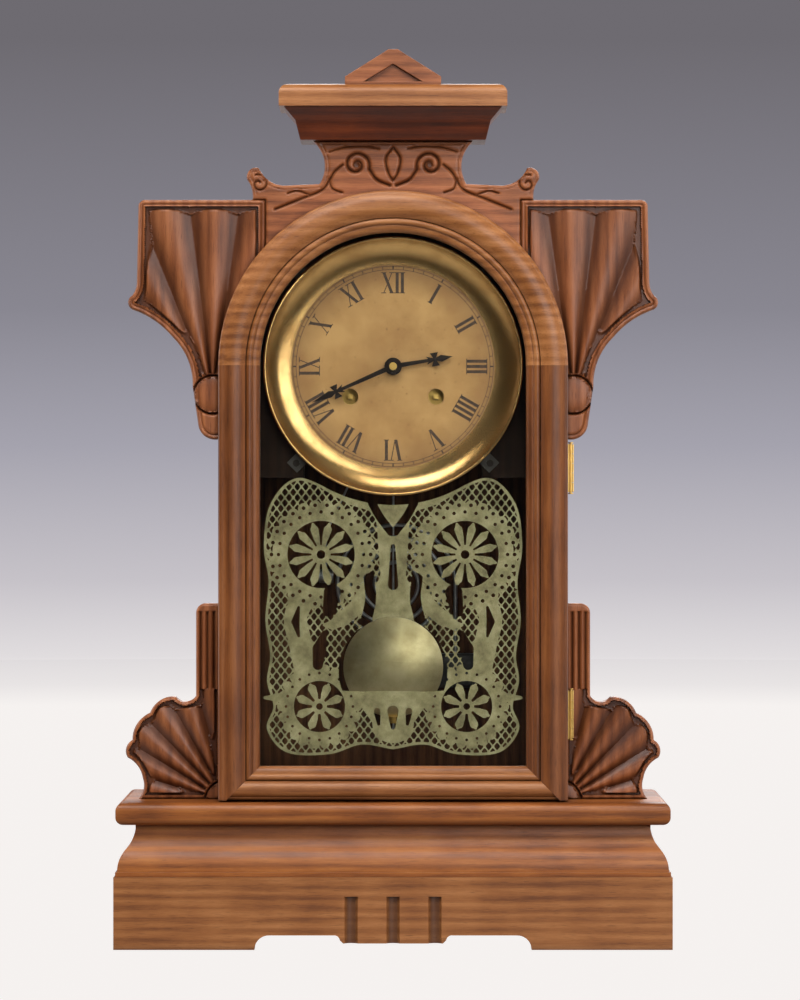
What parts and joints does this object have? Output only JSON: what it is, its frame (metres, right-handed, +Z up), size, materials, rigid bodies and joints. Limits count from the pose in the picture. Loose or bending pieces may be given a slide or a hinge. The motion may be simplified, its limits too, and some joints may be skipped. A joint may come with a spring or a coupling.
{
  "type": "wooden kitchen clock",
  "caption": "Wooden kitchen clock with an arched hinged door over a round dial and a brass pendulum, cut side ears, crest and scroll brackets on a moulded base.",
  "frame": {"origin": "middle of the base's underside, on the shelf", "axes": "+Z up, +X to the viewer's right, the dial and door face -Y"},
  "size_m": [0.347, 0.124, 0.56],
  "materials": {
    "walnut": "reddish brown varnished hardwood, satin",
    "secondary_wood": "plain unvarnished softwood",
    "movement_brass": "lacquered sheet brass",
    "bezel_brass": "polished spun brass",
    "bob_brass": "pressed brass, slightly dulled",
    "steel": "plain steel",
    "blued_steel": "blued sheet steel",
    "cast_iron": "painted cast iron",
    "zinc": "sheet zinc",
    "dial_paper": "aged paper with printed numerals",
    "glass": "clear window glass with printed ornament"
  },
  "bodies": {
    "case": {"base_front_skirt": "walnut", "base_side_skirts": "walnut", "base_back_rail": "walnut", "base_front_moulding": "walnut", "base_side_mouldings": "walnut", "base_top_board": "walnut", "glue_blocks": "secondary_wood", "case_sides": "walnut", "case_top_board": "walnut", "case_back_board": "secondary_wood", "front_frame": "walnut", "side_ears": "walnut", "crest_board": "walnut", "cornice_moulding": "walnut", "cornice_cap": "walnut", "pediment_gable": "walnut", "lower_brackets": "walnut", "dial_support_strips": "secondary_wood", "movement_posts": "secondary_wood", "hinge_case_leaves": "movement_brass", "catch_clip": "movement_brass", "dial_pan": "zinc", "dial_paper": "dial_paper", "dial_bezel": "bezel_brass", "dial_tacks": "steel", "movement_front_plate": "movement_brass", "movement_rear_plate": "movement_brass", "movement_pillars": "steel", "mainsprings": "steel", "suspension_cock": "movement_brass", "gong_coil": "steel", "gong_block": "cast_iron"},
    "door": {"door_arch": "walnut", "door_stiles": "walnut", "door_bottom_rail": "walnut", "door_glass": "glass", "glass_strips": "secondary_wood", "hinge_door_leaves": "movement_brass", "door_catch_pin": "movement_brass"},
    "centre_arbor": {"centre_wheel": "movement_brass", "minute_hand": "blued_steel", "hand_nut": "movement_brass"},
    "second_arbor": {"second_wheel": "movement_brass"},
    "time_great_arbor": {"time_great_wheel": "movement_brass"},
    "third_arbor": {"third_wheel": "movement_brass"},
    "escape_arbor": {"escape_wheel": "movement_brass"},
    "minute_wheel_post": {"minute_wheel": "movement_brass"},
    "hour_pipe": {"hour_wheel": "movement_brass", "hour_hand": "blued_steel"},
    "pendulum": {"verge": "steel", "pendulum_rod": "steel", "pendulum_bob": "bob_brass", "rating_nut": "movement_brass"},
    "strike_great_arbor": {"strike_great_wheel": "movement_brass"},
    "pin_arbor": {"pin_wheel": "movement_brass"},
    "stop_arbor": {"stop_wheel": "movement_brass"},
    "fly_arbor": {"fly": "movement_brass"},
    "count_disc": {"count_wheel": "movement_brass"},
    "hammer_arbor": {"hammer": "steel"}
  },
  "joints": [
    {"name": "door_swing", "type": "hinge", "parent": "case", "child": "door", "pos_m": [0.1112, -0.03815, 0.2], "axis": [0, 0, 1], "range_deg": [0, 95]},
    {"name": "pendulum_swing", "type": "hinge", "parent": "case", "child": "pendulum", "pos_m": [0, 0.027, 0.409], "axis": [0, 1, 0], "range_deg": [-4, 4]},
    {"name": "hammer_lift", "type": "hinge", "parent": "case", "child": "hammer_arbor", "pos_m": [-0.02, 0, 0.3197], "axis": [0, 1, 0], "range_deg": [0, 14]},
    {"name": "minute_turn", "type": "hinge", "parent": "case", "child": "centre_arbor", "pos_m": [0, 0, 0.363], "axis": [0, 1, 0], "continuous": true},
    {"name": "second_turn", "type": "hinge", "parent": "case", "child": "second_arbor", "pos_m": [0.01758, 0, 0.36689], "axis": [0, 1, 0], "continuous": true},
    {"name": "time_great_turn", "type": "hinge", "parent": "case", "child": "time_great_arbor", "pos_m": [0.027, 0, 0.344], "axis": [0, 1, 0], "continuous": true},
    {"name": "third_turn", "type": "hinge", "parent": "case", "child": "third_arbor", "pos_m": [-0.0081, 0, 0.37907], "axis": [0, 1, 0], "continuous": true},
    {"name": "escape_turn", "type": "hinge", "parent": "case", "child": "escape_arbor", "pos_m": [0, 0, 0.39424], "axis": [0, 1, 0], "continuous": true},
    {"name": "minute_wheel_turn", "type": "hinge", "parent": "case", "child": "minute_wheel_post", "pos_m": [-0.01128, 0, 0.3589], "axis": [0, 1, 0], "continuous": true},
    {"name": "hour_turn", "type": "hinge", "parent": "case", "child": "hour_pipe", "pos_m": [0, 0, 0.363], "axis": [0, 1, 0], "continuous": true},
    {"name": "strike_great_turn", "type": "hinge", "parent": "case", "child": "strike_great_arbor", "pos_m": [-0.027, 0, 0.344], "axis": [0, 1, 0], "continuous": true},
    {"name": "pin_turn", "type": "hinge", "parent": "case", "child": "pin_arbor", "pos_m": [-0.038, 0, 0.36617], "axis": [0, 1, 0], "continuous": true},
    {"name": "stop_turn", "type": "hinge", "parent": "case", "child": "stop_arbor", "pos_m": [-0.03, 0, 0.38003], "axis": [0, 1, 0], "continuous": true},
    {"name": "fly_turn", "type": "hinge", "parent": "case", "child": "fly_arbor", "pos_m": [-0.036, 0, 0.39223], "axis": [0, 1, 0], "continuous": true},
    {"name": "count_turn", "type": "hinge", "parent": "case", "child": "count_disc", "pos_m": [-0.027, 0, 0.344], "axis": [0, 1, 0], "continuous": true}
  ],
  "couplings": [
    {"joint": "second_turn", "follows": "minute_turn", "ratio": -0.5},
    {"joint": "time_great_turn", "follows": "minute_turn", "ratio": 0.0625},
    {"joint": "third_turn", "follows": "minute_turn", "ratio": -9},
    {"joint": "escape_turn", "follows": "minute_turn", "ratio": 87.75},
    {"joint": "minute_wheel_turn", "follows": "minute_turn", "ratio": -0.33333},
    {"joint": "hour_turn", "follows": "minute_turn", "ratio": 0.083333},
    {"joint": "pin_turn", "follows": "strike_great_turn", "ratio": -8},
    {"joint": "stop_turn", "follows": "strike_great_turn", "ratio": 72},
    {"joint": "fly_turn", "follows": "strike_great_turn", "ratio": -540},
    {"joint": "count_turn", "follows": "strike_great_turn", "ratio": 1.3333}
  ]
}
